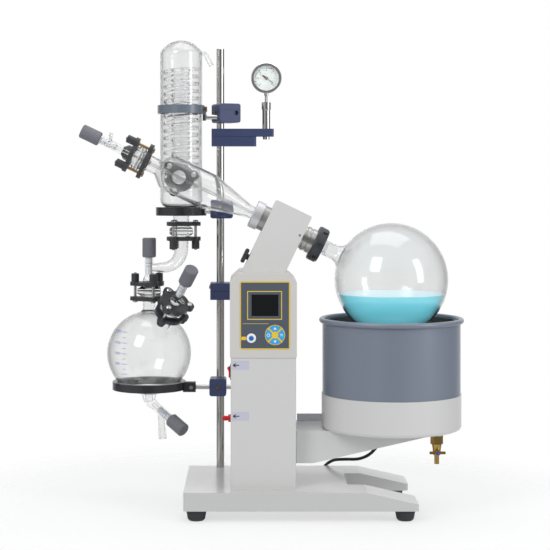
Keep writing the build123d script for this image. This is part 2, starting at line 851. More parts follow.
def make_flask():
    """Round flask whose neck swells out of the sphere and ends in a bead and a ground socket."""
    def shape(radius, neck, length, blend):
        body = Circle(radius) + Pos(0, length / 2) * Rectangle(2 * neck, length)
        height = math.sqrt(radius ** 2 - neck ** 2)
        corners = [v for v in body.vertices() if abs(v.Y - height) < 1]
        return fillet(corners, blend)

    outer = shape(FLASK_R, NECK_R, -NECK_END, NECK_BLEND)
    outer += Pos(0, -(BEAD_FRONT + BEAD_BACK) / 2) * Rectangle(2 * BEAD_R, BEAD_FRONT - BEAD_BACK)
    inner = shape(FLASK_R - GLASS_WALL, NECK_R - NECK_WALL, -NECK_END + 5, NECK_BLEND + NECK_WALL)
    return along(FLASK_CENTRE, -SLOPE) * blown(outer, inner)


def make_flask_nut():
    """Black nut with gripping slots round its front edge."""
    bore = NOSE_R + GAP
    lip = NECK_R + 1.2
    outline = [
        (bore, NUT_BACK),
        (NUT_R - 2, NUT_BACK),
        (NUT_R, NUT_BACK + 3),
        (NUT_R, NUT_FRONT - 4),
        (NUT_R - 3, NUT_FRONT),
        (lip, NUT_FRONT),
        (lip, BEAD_FRONT + TRIM_GAP),
        (bore, BEAD_FRONT + TRIM_GAP),
    ]
    nut = turned(outline, spin(0))
    for n in range(NUT_SLOTS):
        turn = Rot(0, 0, 360 * n / NUT_SLOTS)
        cut = Pos(NUT_R, 0, NUT_FRONT - 5) * Box(6, 8, 14)
        nut -= spin(0) * turn * cut
    return nut


def make_duct():
    """Glass vapour duct through the hollow spindle into the flask's neck."""
    end = BEAD_FRONT + 12
    outline = [
        (DUCT_R - DUCT_WALL, COLLAR_BACK + 1),
        (DUCT_R, COLLAR_BACK + 1),
        (DUCT_R, end - 4),
        (DUCT_R - 0.6, end),
        (DUCT_R - DUCT_WALL, end),
    ]
    return turned(outline, spin(0))


# Flanged joints

def lobed_plate(bore):
    """Three-lobed clamp plate with a thick rim and bolt holes, centred on local Z = 0."""
    face = Circle(PLATE_R)
    for n in range(3):
        face += Rot(0, 0, 120 * n) * Pos(BOLT_CIRCLE, 0) * Circle(LOBE_R)
    face -= Circle(bore + GAP)
    for n in range(3):
        face -= Rot(0, 0, 120 * n) * Pos(BOLT_CIRCLE, 0) * Circle(BOLT_R + GAP)
    return Pos(0, 0, -PLATE_THICK / 2) * extrude(face, amount=PLATE_THICK)


PLATE_OFFSET = SEAL_THICK / 2 + FLANGE_THICK + PLATE_THICK / 2


def clamp_plates(place, head_bore, nut_bore):
    """The two plates of a joint; +Z is the bolt-head side, -Z the nut side."""
    high = Pos(0, 0, PLATE_OFFSET) * lobed_plate(head_bore)
    low = Pos(0, 0, -PLATE_OFFSET) * lobed_plate(nut_bore)
    return [place * high, place * low]


def bolt_spots(place):
    """The three bolt axes of a joint."""
    return [place * Rot(0, 0, 120 * n) * Pos(BOLT_CIRCLE, 0, 0) for n in range(3)]


def bolts(place, nut_length):
    """Three bolts with round heads and a free tip past the nut."""
    face = PLATE_OFFSET + PLATE_THICK / 2
    tip = -face - nut_length - 2
    outline = [
        (0, tip),
        (BOLT_R, tip),
        (BOLT_R, face),
        (BOLT_R + 2.5, face),
        (BOLT_R + 2.5, face + 2.5),
        (BOLT_R + 1, face + 4),
        (0, face + 4),
    ]
    return [turned(outline, spot) for spot in bolt_spots(place)]


def nuts(place, length):
    """Three tall round nuts."""
    face = PLATE_OFFSET + PLATE_THICK / 2
    outline = [
        (BOLT_R + TRIM_GAP, -face),
        (NUT_KNOB_R, -face),
        (NUT_KNOB_R, -face - length + 1),
        (NUT_KNOB_R - 1, -face - length),
        (BOLT_R + TRIM_GAP, -face - length),
    ]
    return [turned(outline, spot) for spot in bolt_spots(place)]


def seal(place, bore):
    """Flat seal between the two ground faces."""
    return ring(FLANGE_R - 1, bore, -SEAL_THICK / 2, SEAL_THICK / 2, place)


BRANCH_CENTRE = FLASK_CENTRE + SLOPE * BRANCH
BACK_JOINT_Y = FLASK_Y + TEE_R + 6 + PLATE_OFFSET + PLATE_THICK / 2


def joint_places():
    """Name: placement, glass radius on the head side, glass radius on the nut side, nut length, turn."""
    return [
        (spin(FEED_JOINT), TEE_NECK_R, TEE_NECK_R, NUT_KNOB_LENGTH),
        (
            along((BRANCH_CENTRE.X, BACK_JOINT_Y, BRANCH_CENTRE.Z), Vector(0, -1, 0)) * Rot(0, 0, 10),
            BRANCH_R,
            BRANCH_R,
            SHORT_NUT,
        ),
        (
            along((CONDENSER_X, GLASS_Y, LOWER_JOINT), UP) * Rot(0, 0, 30),
            BRANCH_R,
            BRANCH_R,
            NUT_KNOB_LENGTH,
        ),
        (
            along((RECEIVER_X, GLASS_Y, RECEIVER_JOINT), -UP) * Rot(0, 0, 40),
            RECEIVER_NECK_R,
            RECEIVER_NECK_R,
            NUT_KNOB_LENGTH,
        ),
        (
            along(RECEIVER_CENTRE, SIDE_DIRECTION, SIDE_JOINT) * Rot(0, 0, SIDE_TURN),
            RECEIVER_NECK_R,
            RECEIVER_NECK_R,
            SHORT_NUT,
        ),
    ]


RECEIVER_CENTRE = Vector(RECEIVER_X, GLASS_Y, RECEIVER_Z)


def make_flange_clamps():
    """All ten lobed plates of the five glass joints."""
    plates = []
    for place, head_r, nut_r, _ in joint_places():
        plates += clamp_plates(place, head_r, nut_r)
    return group(*plates)


def make_flange_nuts():
    """All fifteen clamp nuts."""
    return group(*[n for place, _, _, length in joint_places() for n in nuts(place, length)])


def make_seals():
    """Flat seals of the five joints and the sliding seal round the vapour duct."""
    flat = [seal(place, head_r - 2.5) for place, head_r, _, _ in joint_places()]
    sliding = ring(TEE_R * 0.6 - GAP, DUCT_R + RUNNING, COLLAR_BACK + 2, HEAD_BACK - 1, spin(0))
    return group(*flat, sliding)


def glass_flange(place, side, radius, neck):
    """Ground flange on one side of a joint and the neck that goes through its plate."""
    low = SEAL_THICK / 2
    high = PLATE_OFFSET + PLATE_THICK / 2 + neck
    bore = radius - 2.5
    outline = [
        (bore, side * low),
        (FLANGE_R - 0.5, side * low),
        (FLANGE_R - 0.5, side * (low + 4)),
        (radius, side * (low + FLANGE_THICK)),
        (radius, side * high),
        (bore, side * high),
    ]
    return turned(outline, place)


# Glass

def make_tee():
    """Glass tee: a long cone from the head to a wide barrel, a feed neck and a back branch."""
    wall = TEE_WALL
    end = FEED_JOINT + SEAL_THICK / 2 + FLANGE_THICK
    outer = [
        (TEE_TUBE_R, COLLAR_BACK - 0.3),
        (TEE_TUBE_R, TEE_CONE_START),
        (TEE_R, TEE_CONE_END),
        (TEE_R, TEE_SHOULDER + 8),
        (TEE_R - 4, TEE_SHOULDER),
        (TEE_NECK_R + 4, TEE_NECK + 4),
        (TEE_NECK_R, TEE_NECK),
        (TEE_NECK_R, end),
    ]
    inner = [(r - wall, s) for r, s in reversed(outer)]
    collar = ring(TEE_TUBE_R + 5, TEE_TUBE_R - wall, COLLAR_BACK - 5.7, COLLAR_BACK - 0.3, spin(0))
    body = turned(outer + inner, spin(0)) + collar
    branch = joint_places()[1][0]
    reach = BACK_JOINT_Y - FLASK_Y
    body += rod(BRANCH_R, PLATE_OFFSET, reach - TEE_R * 0.6, branch)
    body -= rod(TEE_R - wall, TEE_SHOULDER + 8, TEE_CONE_END, spin(0))
    body -= rod(BRANCH_R - 2.5, -5, reach - 5, branch)
    body += glass_flange(branch, 1, BRANCH_R, 1)
    body += glass_flange(joint_places()[0][0], 1, TEE_NECK_R, 2)
    return body


def make_feed_tube():
    """Thin feed line from the feed valve down the middle of the tee."""
    return ring(FEED_TUBE_R, FEED_TUBE_R - 1, FEED_JOINT - 18, FEED_TUBE_END, spin(0))


def valve_tube(place, start, end, wide, neck_end):
    """Glass barrel of a stopcock: a wide neck that draws in to a barrel for the stem."""
    bore = VALVE_BORE
    return turned(
        [
            (bore - 3, start),
            (wide, start),
            (wide, neck_end - 8),
            (VALVE_R, neck_end),
            (VALVE_R, end),
            (bore, end),
            (bore, end - STEM_LENGTH - 1),
            (bore - 3, end - STEM_LENGTH - 3),
        ],
        place,
    )


def nipple(origin, direction, length):
    """Hose nipple with two barbs."""
    outline = [
        (1.6, 0),
        (3.2, 0),
        (3.2, length - 12),
        (4.2, length - 11),
        (3.2, length - 7),
        (4.2, length - 6),
        (2.8, length),
        (1.6, length),
    ]
    return turned(outline, along(origin, direction))


def make_valves():
    """Feed valve on the spin axis and side valve on the receiver: glass barrels with nipples."""
    feed_place = along(FLASK_CENTRE, -SLOPE)
    face = -FEED_JOINT + PLATE_OFFSET + PLATE_THICK / 2
    feed = valve_tube(feed_place, face - 1, -FEED_KNOB - GAP, TEE_NECK_R, face + 16)
    feed += glass_flange(spin(FEED_JOINT), -1, TEE_NECK_R, 0)
    out = FLASK_CENTRE - SLOPE * 612
    side = Vector(0.1, -0.6, 0.8).normalized()
    feed += nipple(out + side * (VALVE_R - 1), side, 20)
    feed -= rod(VALVE_BORE, -FEED_KNOB - GAP - STEM_LENGTH - 1, -FEED_KNOB, feed_place)
    feed -= rod(FEED_TUBE_R + GAP, face - 40, -FEED_KNOB - STEM_LENGTH, feed_place)
    side_place = along(RECEIVER_CENTRE, SIDE_DIRECTION)
    face = SIDE_JOINT + PLATE_OFFSET + PLATE_THICK / 2
    vent = valve_tube(side_place, face - 1, SIDE_KNOB - GAP, RECEIVER_NECK_R, face + 12)
    vent += glass_flange(joint_places()[4][0], 1, RECEIVER_NECK_R, 0)
    front = RECEIVER_CENTRE + SIDE_DIRECTION.normalized() * (face + 15)
    out = Vector(0.45, -0.75, -0.48).normalized()
    vent += nipple(front + out * (VALVE_R - 1), out, 18)
    vent -= rod(VALVE_BORE, SIDE_KNOB - GAP - STEM_LENGTH - 1, SIDE_KNOB, side_place)
    return group(feed, vent)


def make_knob(place):
    """Stopcock knob: a ribbed grey cap on a long plastic stem. Local Z points outwards."""
    outline = [
        (0, -STEM_LENGTH),
        (VALVE_BORE - RUNNING, -STEM_LENGTH),
        (VALVE_BORE - RUNNING, 0),
        (KNOB_R - 1.5, 0),
        (KNOB_R, 2),
        (KNOB_R, KNOB_LENGTH - 2),
        (KNOB_R - 2, KNOB_LENGTH),
        (0, KNOB_LENGTH),
    ]
    return turned(outline, place)


def make_condenser():
    """Condenser jacket: domed cylinder with a hooked nipple, a front arm and a lower neck."""
    wall = GLASS_WALL

    def jacket(grow):
        radius = CONDENSER_R - grow
        shoulder = CONDENSER_TOP - DOME_RISE
        low = CONDENSER_BOTTOM + grow
        rise = DOME_RISE - grow
        crown = (radius ** 2 + rise ** 2) / (2 * rise)
        barrel = Pos(0, (low + CONDENSER_TOP) / 2) * Rectangle(2 * radius, CONDENSER_TOP - low)
        depth = 2 * (shoulder - low)
        barrel &= Pos(0, CONDENSER_TOP - grow - crown) * Circle(crown) + Pos(0, shoulder - depth / 2) * Rectangle(
            2 * radius, depth
        )
        corners = barrel.vertices().sort_by(Axis.Y)
        shoulders = [v for v in corners if abs(v.Y - shoulder) < 1]
        return fillet(fillet(shoulders, 16 - grow).vertices().sort_by(Axis.Y)[:2], 14 - grow)

    body = Pos(CONDENSER_X, GLASS_Y, 0) * blown(jacket(0), jacket(wall))
    lower = joint_places()[2][0]
    arm = joint_places()[1][0]
    top = CONDENSER_BOTTOM - LOWER_JOINT
    body += rod(BRANCH_R, PLATE_OFFSET, top + 1, lower)
    body -= rod(BRANCH_R - 2.5, -5, top + wall + 5, lower)
    body += glass_flange(lower, 1, BRANCH_R, 1)
    reach = GLASS_Y - BACK_JOINT_Y
    tube = rod(BRANCH_R, -reach + CONDENSER_R * 0.75, -PLATE_OFFSET, arm)
    inside = Pos(CONDENSER_X, GLASS_Y, 0) * rod(CONDENSER_R - wall, COIL_BOTTOM - 20, COIL_TOP)
    body += tube - inside
    body -= rod(BRANCH_R - 2.5, -reach + CONDENSER_R * 0.75, 5, arm)
    body += glass_flange(arm, -1, BRANCH_R, 1)
    for height in (COIL_BOTTOM, COIL_TOP):
        start = (CONDENSER_X, GLASS_Y + CONDENSER_R - 1, height)
        body += nipple(start, Vector(0, 1, 0), 26)
    return body + make_hook()


def hook_route():
    """Points of the hooked nipple, from inside the jacket's shoulder to its open end."""
    x = CONDENSER_X + CONDENSER_R
    z = CONDENSER_TOP - DOME_RISE
    return [(x - 6, GLASS_Y, z - 3), (x + 6, GLASS_Y, z - 2), (x + 19, GLASS_Y - 7, z - 28)]


def make_hook():
    """Hooked vacuum nipple at the shoulder of the condenser."""
    path = FilletPolyline(*hook_route(), radius=HOOK_BEND)
    section = Plane(origin=path @ 0, z_dir=path % 0)
    outer = sweep(section * Circle(HOOK_R), path)
    return outer - sweep(section * Circle(HOOK_R - 2), path)


def make_coil():
    """Double glass coil: two helices whose shared ends run back to the coolant nipples."""
    tall = COIL_TOP - COIL_BOTTOM

    def helix(radius, tube, turns):
        path = Helix(tall / turns, tall, radius)
        start = Plane(origin=path @ 0, z_dir=path % 0)
        return sweep(start * Circle(tube), path, is_frenet=True)

    coil = helix(COIL_R, COIL_TUBE_R, COIL_TURNS)
    coil += helix(INNER_COIL_R, INNER_COIL_TUBE_R, INNER_COIL_TURNS)
    wall = CONDENSER_R - GLASS_WALL - 0.5
    for height in (0, tall):
        coil += Pos(INNER_COIL_R, 0, height) * Sphere(INNER_COIL_TUBE_R)
        coil += rod(COIL_TUBE_R, 0, wall - COIL_R, along((COIL_R, 0, height), Vector(1, 0, 0)))
        coil += rod(
            INNER_COIL_TUBE_R, 0, COIL_R - INNER_COIL_R, along((INNER_COIL_R, 0, height), Vector(1, 0, 0))
        )
        coil += Pos(COIL_R, 0, height) * Sphere(COIL_TUBE_R)
    return Pos(CONDENSER_X, GLASS_Y, COIL_BOTTOM) * Rot(0, 0, 90) * coil


def make_transfer():
    """Glass bend from the condenser to the receiver, with the barrel of the vertical valve."""
    top = LOWER_JOINT - SEAL_THICK / 2 - FLANGE_THICK
    bend_top = TRANSFER_Z + TRANSFER_BEND_R
    corner_x = CONDENSER_X - TRANSFER_BEND_R
    with BuildLine() as line:
        Line((CONDENSER_X, top), (CONDENSER_X, bend_top))
        RadiusArc((CONDENSER_X, bend_top), (corner_x, TRANSFER_Z), TRANSFER_BEND_R)
        Line((corner_x, TRANSFER_Z), (RECEIVER_X + 4, TRANSFER_Z))
    path = Plane.XZ.offset(-GLASS_Y) * line.line
    stages = ((0, BRANCH_R - 1), (0.45, BRANCH_R - 3.5), (1, TRANSFER_END_R))

    def swept(shrink):
        cuts = []
        for share, radius in stages:
            cuts.append(Plane(origin=path @ share, z_dir=path % share) * Circle(radius - shrink))
        return sweep(cuts, path, multisection=True)

    bend = swept(0)
    inner = swept(2)
    barrel = Pos(RECEIVER_X, GLASS_Y, 0)
    face = RECEIVER_JOINT + PLATE_OFFSET + PLATE_THICK / 2
    body = bend + turned(
        [
            (0, face - 1),
            (RECEIVER_NECK_R, face - 1),
            (RECEIVER_NECK_R, face + 4),
            (VALVE_R, face + 14),
            (VALVE_R, VENT_KNOB_Z - GAP),
            (0, VENT_KNOB_Z - GAP),
        ],
        barrel,
    )
    body -= inner
    body -= rod(VALVE_BORE, VENT_KNOB_Z - GAP - STEM_LENGTH - 1, VENT_KNOB_Z, barrel)
    body -= rod(VALVE_BORE - 2.5, face - 5, VENT_KNOB_Z, barrel)
    body += glass_flange(joint_places()[3][0], -1, RECEIVER_NECK_R, 0)
    body += glass_flange(joint_places()[2][0], -1, BRANCH_R, 0)
    return body


def outlet_start():
    """Point on the drain valve's axis where its outlet leaves."""
    return Vector(DRAIN_X, GLASS_Y, DRAIN_Z) + DRAIN_DIRECTION.normalized() * 24


def outlet_end():
    """Middle of the drain outlet's lower end."""
    top = outlet_start()
    return Vector(top.X + 4, top.Y, OUTLET_BOTTOM)


def make_receiver():
    """Receiving flask: sphere with an upper neck, a side neck and a drain with its own valve."""
    wall = GLASS_WALL - 0.5
    centre = Pos(RECEIVER_X, GLASS_Y, RECEIVER_Z)
    side = joint_places()[4][0]
    drain = Vector(DRAIN_X, GLASS_Y, DRAIN_Z)
    drain_place = along(drain, DRAIN_DIRECTION)
    neck = RECEIVER_NECK_R
    top = RECEIVER_JOINT - RECEIVER_Z
    body = centre * Sphere(RECEIVER_R)
    body += rod(neck, RECEIVER_R - 5, top - PLATE_OFFSET, centre)
    body += turned([(neck, 90), (neck + 7, RECEIVER_R - 4), (0, RECEIVER_R - 4), (0, 90)], centre)
    body += rod(neck, RECEIVER_R - 5, SIDE_JOINT - PLATE_OFFSET, along(RECEIVER_CENTRE, SIDE_DIRECTION))
    stub_top = RECEIVER_Z - RECEIVER_R + 3
    stub = turned(
        [(0, stub_top), (neck + 2, stub_top), (neck, stub_top - 10), (10, DRAIN_Z + 4), (0, DRAIN_Z + 4)],
        Pos(RECEIVER_X, GLASS_Y, 0),
    )
    elbow = Pos(drain.X, drain.Y, drain.Z) * Sphere(10)
    link = hull_link((RECEIVER_X, GLASS_Y, DRAIN_Z + 6), 10, drain, 10)
    barrel = rod(VALVE_R, 0, DRAIN_VALVE - GAP, drain_place)
    outlet_line = outlet_end() - outlet_start()
    outlet = along(outlet_start(), outlet_line)
    length = outlet_line.length
    body += stub + link + elbow + barrel + rod(DRAIN_TUBE_R, 0, length, outlet)
    body += rod(HOSE_COLLAR_R, length - HOSE_COLLAR_LENGTH, length, outlet)
    body -= centre * Sphere(RECEIVER_R - wall)
    body -= rod(neck - 2.5, 0, top, centre)
    body -= rod(neck - 2.5, 0, SIDE_JOINT, along(RECEIVER_CENTRE, SIDE_DIRECTION))
    body -= rod(7, DRAIN_Z + 6, RECEIVER_Z, Pos(RECEIVER_X, GLASS_Y, 0))
    body -= rod(3.5, 0, DRAIN_VALVE, drain_place)
    body -= rod(VALVE_BORE, DRAIN_VALVE - GAP - STEM_LENGTH - 1, DRAIN_VALVE, drain_place)
    body -= rod(DRAIN_TUBE_R - 2, VALVE_R + 2, outlet_line.length + 1, outlet)
    body += glass_flange(joint_places()[3][0], 1, neck, 0)
    body += glass_flange(side, -1, neck, 0)
    return body


def hull_link(start, start_r, end, end_r):
    """Short tapering bar between two points."""
    line = Vector(*end) - Vector(*start)
    place = along(start, line)
    return turned([(0, 0), (start_r, 0), (end_r, line.length), (0, line.length)], place)


# Pole, clamps and rings

def make_pole():
    """Chrome pole, standing on the base, with a chamfered top."""
    outline = [
        (0, BASE_TOP),
        (POLE_R, BASE_TOP),
        (POLE_R, POLE_TOP - 1),
        (POLE_R - 1, POLE_TOP),
        (0, POLE_TOP),
    ]
    return turned(outline, Pos(POLE_X, POLE_Y, 0))


def pole_hole(low, high):
    """Clearance hole for the pole."""
    return rod(POLE_R + TRIM_GAP, low - 1, high + 1, Pos(POLE_X, POLE_Y, 0))


def rod_hole(z, right):
    """Clearance hole for a ring's rod, blind at its right end."""
    return rod(ROD_R + TRIM_GAP, -80, 0, along((right, ROD_Y, z), Vector(1, 0, 0)))


UPPER_CLAMP = (765.0, 804.0)
MIDDLE_CLAMP = (569.0, 606.0)
RECEIVER_CLAMP = (206.0, 241.5)
RECEIVER_CLAMP_WIDTH = 34.5
RECEIVER_CLAMP_X = POLE_X - 4.7
POLE_BRACKET = (403.0, 437.0)
ROD_END = POLE_X + 16
LOWER_ROD_Z = CONDENSER_BOTTOM - 9


def make_clamps():
    """Blue boss heads on the pole, and the block that ties the pole to the housing."""
    blocks = []
    straight = (POLE_Y + ROD_Y) / 2 + 1
    for span, place, width, through in (
        (UPPER_CLAMP, turned_clamp(), CLAMP_WIDTH, (UPPER_ROD_Z, ROD_END)),
        (MIDDLE_CLAMP, Pos(POLE_X + 3, straight, sum(MIDDLE_CLAMP) / 2), CLAMP_WIDTH, (LOWER_ROD_Z, ROD_END)),
        (
            RECEIVER_CLAMP,
            Pos(RECEIVER_CLAMP_X, straight, sum(RECEIVER_CLAMP) / 2),
            RECEIVER_CLAMP_WIDTH,
            (RECEIVER_ROD_Z, POLE_X + 40),
        ),
    ):
        low, high = span
        head = Box(width, CLAMP_DEPTH, high - low)
        head = fillet(head.edges().filter_by(Axis.Y), 5)
        body = place * chamfer(head.edges().group_by(Axis.Y)[0], 1)
        body -= pole_hole(low, high)
        body -= rod_hole(*through)
        blocks.append(body)
    hole = turned_clamp() * Pos(CLAMP_WIDTH * 0.28, -CLAMP_DEPTH / 2, 0)
    blocks[0] -= rod(5, -6, 1, hole * Rot(90, 0, 0))
    blocks[0] -= turned_clamp() * Pos(0, -CLAMP_DEPTH / 2, 6) * Box(CLAMP_WIDTH + 2, 2, 1.4)
    low, high = POLE_BRACKET
    left = POLE_X - 20
    right = CABINET_LEFT - HOUSING_PROUD
    tie = block(left, right, CABINET_BACK - 12, POLE_Y + 16, low, high)
    tie -= block(left - 1, right + 1, POLE_Y - 1, POLE_Y + 20, (low + high) / 2 - 1, (low + high) / 2 + 1)
    tie -= pole_hole(low, high)
    tie -= block(left - 1, right + 1, CABINET_BACK - 13, CABINET_BACK - 11, (low + high) / 2 - 0.7, (low + high) / 2 + 0.7)
    blocks.append(tie)
    holes = [screw_hole(*spot, SCREW_LENGTH) for spot in clamp_screws()[:4]]
    return group(*[body - hole for body, hole in zip(blocks, holes)])


def make_condenser_rings():
    """Upper clamp ring and lower support ring of the condenser, each with its rod."""
    centre = Pos(CONDENSER_X, GLASS_Y, 0)
    low = UPPER_RING_Z
    high = low + UPPER_RING_HEIGHT
    outer = CONDENSER_R + 5.5
    upper = ring(outer, CONDENSER_R + GAP, low, high, centre)
    ear_x = CONDENSER_X + outer
    upper += block(ear_x - 6, ear_x + 5, ROD_Y - 8, ROD_Y + 8, low + 3, high - 3)
    upper += block(ear_x - 4, ear_x + 3, ROD_Y - 5, ROD_Y + 5, UPPER_ROD_Z - 7, low + 4)
    upper -= rod(CONDENSER_R + GAP, low - 20, high + 5, centre)
    upper += rod(ROD_R, 0, ROD_END - ear_x - 1, along((ear_x, ROD_Y, UPPER_ROD_Z), Vector(1, 0, 0)))
    upper -= screw_hole(*clamp_screws()[4], SCREW_LENGTH)
    top = CONDENSER_BOTTOM - TRIM_GAP
    base = top - LOWER_RING_HEIGHT
    lower = ring(LOWER_RING_R, BRANCH_R + 1, base, top, centre)
    lower -= ring(LOWER_RING_R - 8, BRANCH_R + 6, base - 1, base + 8, centre)
    edge = CONDENSER_X + LOWER_RING_R - 4
    lower += rod(ROD_R, 0, ROD_END - edge - 1, along((edge, ROD_Y, LOWER_ROD_Z), Vector(1, 0, 0)))
    return group(upper, lower)


def make_receiver_ring():
    """Black ring under the receiving flask, with its boss and rod."""
    centre = Pos(RECEIVER_X, GLASS_Y, 0)
    high = RECEIVER_RING_TOP
    low = high - RECEIVER_RING_HEIGHT
    drop = RECEIVER_Z - high
    touch = math.sqrt(RECEIVER_R ** 2 - drop ** 2) + GAP
    outline = [
        (touch, high),
        (RECEIVER_RING_R, high),
        (RECEIVER_RING_R, low),
        (touch - 2, low),
        (touch - 2, high - 4),
    ]
    hoop = turned(outline, centre)
    hoop -= Pos(RECEIVER_X, GLASS_Y, RECEIVER_Z) * Sphere(RECEIVER_R + GAP)
    edge = RECEIVER_X + RECEIVER_RING_R - 5
    boss = block(edge, edge + 26, ROD_Y - 9, ROD_Y + 9, RECEIVER_ROD_Z - 10, RECEIVER_ROD_Z + 11)
    hoop += fillet(boss.edges().filter_by(Axis.X), 3)
    start = edge + 20
    hoop += rod(ROD_R, 0, POLE_X + 22 - start, along((start, ROD_Y, RECEIVER_ROD_Z), Vector(1, 0, 0)))
    return hoop - screw_hole(*clamp_screws()[5], SCREW_LENGTH)


def screw(origin, direction, length):
    """Socket screw: shank into the part, head outside with a hex recess."""
    place = along(origin, direction)
    outline = [(0, -length), (SCREW_R, -length), (SCREW_R, 0), (4, 0), (4, 2.5), (0, 2.5)]
    recess = Pos(0, 0, 1) * extrude(RegularPolygon(1.8, 6), amount=3)
    return turned(outline, place) - place * recess


def screw_hole(origin, direction, length):
    """Tapped hole for a clamp screw."""
    return rod(SCREW_R + RUNNING, -length - 1, 1, along(origin, direction))


def turned_clamp():
    """Placement of the upper boss head, which is turned on the pole."""
    low, high = UPPER_CLAMP
    return Pos(POLE_X + 12, (POLE_Y + ROD_Y) / 2 + 1, (low + high) / 2) * Rot(0, 0, CLAMP_TURN)


def clamp_screws():
    """Origin and outward direction of every screw in the boss heads, ties and rings."""
    front = (POLE_Y + ROD_Y) / 2 + 1 - CLAMP_DEPTH / 2
    side = turned_clamp() * Pos(-CLAMP_WIDTH / 2, 0, 2)
    across = turned_clamp() * Pos(-CLAMP_WIDTH, 0, 2)
    rim = CONDENSER_X + CONDENSER_R + 6.7
    return [
        (side.position, across.position - side.position),
        ((POLE_X, front, sum(MIDDLE_CLAMP) / 2 + 3), Vector(0, -1, 0)),
        ((RECEIVER_CLAMP_X, front, sum(RECEIVER_CLAMP) / 2), Vector(0, -1, 0)),
        ((POLE_X - 20, CABINET_BACK, sum(POLE_BRACKET) / 2 + 9), Vector(-1, 0, 0)),
        ((rim, ROD_Y - 8, UPPER_RING_Z + UPPER_RING_HEIGHT / 2), Vector(0, -1, 0)),
        ((RECEIVER_X + RECEIVER_RING_R + 12, ROD_Y - 9, RECEIVER_ROD_Z), Vector(0, -1, 0)),
    ]


def make_bolts():
    """Bolts of the five glass joints, and the clamp screws of the boss heads and rings."""
    parts = []
    for place, _, _, length in joint_places():
        parts += bolts(place, length)
    for origin, direction in clamp_screws():
        parts.append(screw(origin, direction, SCREW_LENGTH))
    return group(*parts)


# Gauge

def make_gauge_bracket():
    """Blue two-step bracket that swivels on the pole and carries the gauge at its tip."""
    y0 = POLE_Y - BRACKET_DEPTH / 2
    y1 = POLE_Y + BRACKET_DEPTH / 2
    upper = block(BRACKET_LEFT, BRACKET_TIP, y0, y1, BRACKET_STEP, BRACKET_TOP)
    upper = fillet(upper.edges().filter_by(Axis.Z), 5)
    lower = block(BRACKET_LEFT, BRACKET_RIGHT, y0, y1, BRACKET_BOTTOM, BRACKET_STEP)
    lower = fillet(lower.edges().filter_by(Axis.Z), 5)
    body = upper + lower
    body -= block(BRACKET_LEFT - 1, BRACKET_RIGHT + 1, y0 - 1, y0 + 1, BRACKET_STEP - 0.7, BRACKET_STEP + 0.7)
    body -= rod(POLE_R + RUNNING, BRACKET_BOTTOM - 1, BRACKET_TOP + 1, Pos(POLE_X, POLE_Y, 0))
    body -= rod(3.5 + TRIM_GAP, BRACKET_STEP - 1, BRACKET_TOP + 1, Pos(GAUGE_X, POLE_Y, 0))
    return body


def make_gauge_tube():
    """Chrome tube with a wider cap, its stud and nut through the tongue, and the gauge stem."""
    place = Pos(GAUGE_X, POLE_Y, 0)
    cap = GAUGE_TUBE_TOP - 15
    outline = [
        (0, BRACKET_STEP - 6),
        (7, BRACKET_STEP - 6),
        (7, BRACKET_STEP),
        (3.5, BRACKET_STEP),
        (3.5, BRACKET_TOP),
        (GAUGE_TUBE_R, BRACKET_TOP),
        (GAUGE_TUBE_R, cap - 2),
        (GAUGE_TUBE_R + 1.3, cap),
        (GAUGE_TUBE_R + 1.3, GAUGE_TUBE_TOP - 1),
        (GAUGE_TUBE_R, GAUGE_TUBE_TOP),
        (3, GAUGE_TUBE_TOP),
        (3, GAUGE_Z - GAUGE_R - 5),
        (4.5, GAUGE_Z - GAUGE_R - 4),
        (4.5, GAUGE_Z - GAUGE_R + 0.6),
        (0, GAUGE_Z - GAUGE_R + 0.6),
    ]
    return turned(outline, place)


GAUGE_FRONT = POLE_Y - GAUGE_DEPTH / 2


def gauge_place():
    """Local Z out of the dial, towards the front."""
    return along((GAUGE_X, GAUGE_FRONT, GAUGE_Z), Vector(0, -1, 0))


def make_gauge_case():
    """Stainless gauge case: a cup with a rolled bezel and the dial plate at its bottom."""
    depth = GAUGE_DEPTH
    outline = [
        (0, -depth),
        (GAUGE_R - 5, -depth),
        (GAUGE_R - 1.5, -depth + 3),
        (GAUGE_R - 1.5, -9),
        (GAUGE_R, -8),
        (GAUGE_R, -1),
        (GAUGE_R - 1, 0),
        (DIAL_R, 0),
        (DIAL_R, -1.5),
        (DIAL_R + 1, -1.5),
        (DIAL_R + 1, -8),
        (2 + GAP, -8),
        (2 + GAP, -10),
        (0, -10),
    ]
    cup = turned(outline, gauge_place())
    socket = rod(4.5, GAUGE_Z - GAUGE_R - 5, GAUGE_Z - GAUGE_R + 0.6, Pos(GAUGE_X, POLE_Y, 0))
    return cup - socket


def make_gauge_lens():
    """Flat gauge window, held behind the bezel's lip."""
    return rod(DIAL_R + 1 - TRIM_GAP, -3.5, -1.65, gauge_place())


NEEDLE_ANGLE = -36.0


def make_needle():
    """Black gauge needle with a counterweight tail and a brass hub on its arbor."""
    face = Rectangle(20, 1.2)
    face = Pos(8, 0) * face + Pos(-5, 0) * Rectangle(9, 3) + Circle(3)
    blade = Pos(0, 0, -5.5) * Rot(0, 0, NEEDLE_ANGLE) * extrude(face, amount=0.8)
    arbor = rod(2, -10 + TRIM_GAP, -5, Location())
    return gauge_place() * Rot(0, 0, 0) * (blade + arbor)


# Bath and lift

BATH = Pos(FLASK_X, FLASK_Y, 0)


